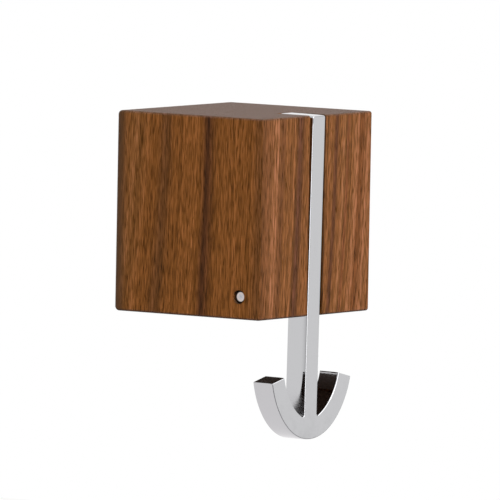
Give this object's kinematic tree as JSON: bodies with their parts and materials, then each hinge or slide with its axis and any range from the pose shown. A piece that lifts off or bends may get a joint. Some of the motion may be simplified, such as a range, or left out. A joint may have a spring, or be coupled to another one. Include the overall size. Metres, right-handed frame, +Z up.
{
  "type": "wall hook",
  "caption": "Walnut block wall hook with a chromed lever let into its front; the lever ends in an anchor-shaped double hook and folds out as a hanger rail.",
  "frame": {"origin": "centre of the block's back face, on the wall", "axes": "+Z up, +X to the right as seen from the room, +Y into the wall"},
  "size_m": [0.07, 0.0656, 0.1182],
  "materials": {
    "walnut": "satin oiled",
    "chrome": "polished",
    "steel": "ground",
    "nylon": "moulded"
  },
  "bodies": {
    "block": {"wood_block": "walnut", "pivot_pin": "steel", "spacer_washer_left": "nylon", "spacer_washer_right": "nylon"},
    "lever": {"hook_lever": "chrome"}
  },
  "joints": [
    {"name": "lever_fold", "type": "hinge", "parent": "block", "child": "lever", "pos_m": [0, -0.0559, -0.0283], "axis": [1, 0, 0], "range_deg": [-0.7, 73]}
  ]
}
